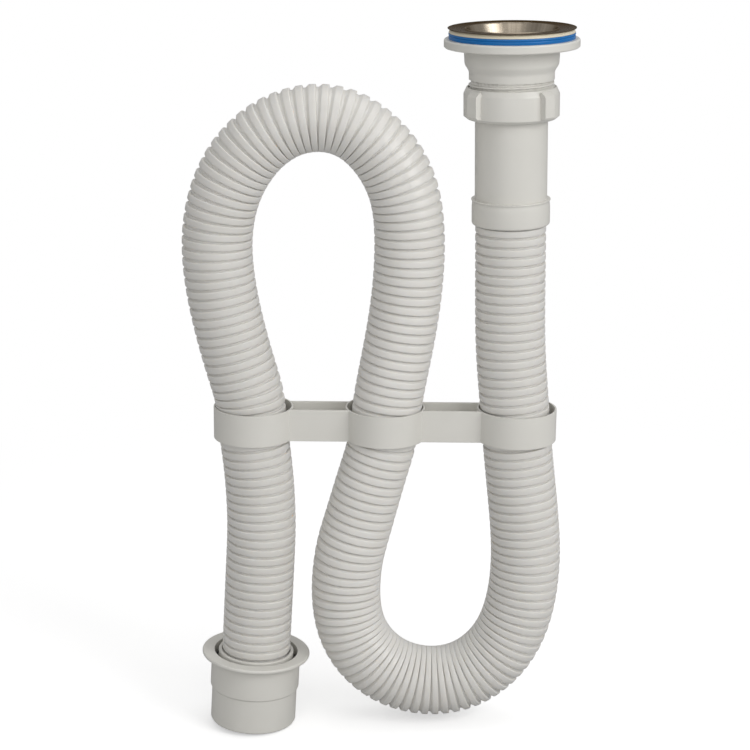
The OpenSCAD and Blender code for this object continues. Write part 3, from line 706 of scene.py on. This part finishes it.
# Down the outside from the plain end in the upper cuff, then back up the bore
rings = [ring(0, 0, CREST_R), ring(UPPER_GRIP - 1.5, 0, CREST_R), ring(UPPER_GRIP - 0.6, 0, 18.6)]
for mark in rib_marks:
    rings += [ring(mark, *corner) for corner in RIB_PROFILE]
rings += [ring(HOSE_LENGTH - END_GRIP + 1.0, 0, FLOOR_R), ring(HOSE_LENGTH - END_GRIP + 2.0, 0, CREST_R)]
rings += [ring(HOSE_LENGTH, 0, CREST_R), ring(HOSE_LENGTH, 0, BORE_R)]
rings += [ring(mark, 0, BORE_R) for mark in rib_marks[::-2]]
rings += [ring(0, 0, BORE_R)]
print("rings of the skin:", len(rings))

# %% [markdown]
# The rings are joined by square faces, the last ring to the first, so the skin is closed.

# %% Skin of the hose
corners = np.vstack(rings) * MM
count = len(rings)
faces = []
for i in range(count):
    a, b = i * SIDES, (i + 1) % count * SIDES
    faces += [(a + k, b + k, b + (k + 1) % SIDES, a + (k + 1) % SIDES) for k in range(SIDES)]
skin = bpy.data.meshes.new("hose_skin")
skin.from_pydata(corners.tolist(), [], faces)
skin.validate()
hose = bpy.data.objects.new("ribbed_hose", skin)
bpy.context.scene.collection.objects.link(hose)
skin.materials.append(hose_polypropylene)

pick(hose)
bpy.ops.object.mode_set(mode="EDIT")
bpy.ops.mesh.select_all(action="SELECT")
bpy.ops.mesh.normals_make_consistent(inside=False)
bpy.ops.object.mode_set(mode="OBJECT")
smooth(hose)
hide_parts("hose")
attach(hose, "trap")
print("hose triangles:", 2 * len(faces))

# %% [markdown]
# ## Floor, background and light
# The photograph was cut out on pure white. A white floor gives that, and keeps the soft
# shadow. Only the camera sees the surroundings white. As light and in reflections they are
# a calm grey, so that they don't wash the plastic out, and steel and edges turn dark.

# %% Background
AMBIENT = 0.46
world = bpy.data.worlds.new("studio")
bpy.context.scene.world = world
world.use_nodes = True
world.node_tree.nodes.clear()
calm = add_node(world, "ShaderNodeBackground", Color=linear("#FFFFFF"), Strength=AMBIENT)
white = add_node(world, "ShaderNodeBackground", Color=linear("#FFFFFF"), Strength=1.0)
# 1 for rays straight from the camera, else 0
seen = add_node(world, "ShaderNodeLightPath").outputs["Is Camera Ray"]
choose = add_node(world, "ShaderNodeMixShader", i0=seen, i1=calm.outputs[0], i2=white.outputs[0])
add_node(world, "ShaderNodeOutputWorld", Surface=choose.outputs[0])
print("light from all round:", AMBIENT)

# %% [markdown]
# Near the object the floor is a lit surface that glows a little, so that it just reaches
# white and still darkens in the shadow. Further out it fades to plain white, because lamps
# near the object can't light a wide floor evenly.

# %% Floor
FLOOR_SIZE = 14.0
FLOOR_GLOW = 0.47
# Distances from the object's middle where the fade starts and ends
NEAR_MM, FAR_MM = 260.0, 620.0
bpy.ops.object.select_all(action="DESELECT")
middle = (cad_low + cad_high) / 2
bpy.ops.mesh.primitive_plane_add(size=FLOOR_SIZE, location=(0, 0, cad_low.z))
floor = bpy.context.object
floor.name = "floor"
floor_finish, place = new_finish("white_floor")
centred = add_node(
    floor_finish, "ShaderNodeMapping", Vector=place, Location=(-middle.x / MM, -middle.y / MM, 0)
)
distance = add_node(floor_finish, "ShaderNodeVectorMath", {"operation": "LENGTH"}, i0=centred.outputs[0])
far = add_node(
    floor_finish,
    "ShaderNodeMapRange",
    {"interpolation_type": "SMOOTHSTEP"},
    i0=distance.outputs["Value"],
    i1=NEAR_MM,
    i2=FAR_MM,
)
lit = add_node(floor_finish, "ShaderNodeBsdfDiffuse", Color=linear("#E6E6E6"))
dim = add_node(floor_finish, "ShaderNodeBsdfDiffuse", Color=linear("#C0C0C0"))
seen = add_node(floor_finish, "ShaderNodeLightPath").outputs["Is Camera Ray"]
glow = add_node(floor_finish, "ShaderNodeEmission", Strength=FLOOR_GLOW)
near_seen = add_node(floor_finish, "ShaderNodeAddShader", i0=lit.outputs[0], i1=glow.outputs[0])
far_seen = add_node(floor_finish, "ShaderNodeEmission", Strength=1.0)
looks = add_node(
    floor_finish, "ShaderNodeMixShader", Fac=far.outputs[0], i1=near_seen.outputs[0], i2=far_seen.outputs[0]
)
close_finish(
    floor_finish,
    add_node(floor_finish, "ShaderNodeMixShader", Fac=seen, i1=dim.outputs[0], i2=looks.outputs[0]),
)
floor.data.materials.append(floor_finish)
print("floor at", round(cad_low.z / MM, 1), "mm")

# %% [markdown]
# ## Lamps
# The photo is brightest towards the right of each round part and falls off softly to the
# left, so the key is a big softbox far to the right and above. A wider one in front keeps
# the middle calm, and one overhead lifts the upward faces.


# %% Lamps
def softbox(name, place, aim, size, watts):
    """A rectangular area lamp, with places and sizes in metres."""
    lamp = bpy.data.objects.new(name, bpy.data.lights.new(name, "AREA"))
    bpy.context.scene.collection.objects.link(lamp)
    lamp.data.shape = "RECTANGLE"
    lamp.data.size, lamp.data.size_y = size
    lamp.data.energy = watts
    lamp.location = place
    lamp.rotation_euler = (Vector(aim) - Vector(place)).to_track_quat("-Z", "Y").to_euler()
    print(name, "lamp:", watts, "W")


MIDDLE = (-0.08, 0, -0.2)
softbox("key", (1.07, -0.97, 0.6), MIDDLE, (0.9, 0.9), 11.5)
softbox("front", (-0.35, -1.85, 0.45), MIDDLE, (1.5, 1.5), 8)
softbox("top", (0.1, 0.2, 1.6), MIDDLE, (1.2, 1.2), 6)

bpy.context.scene.view_settings.view_transform = "Standard"
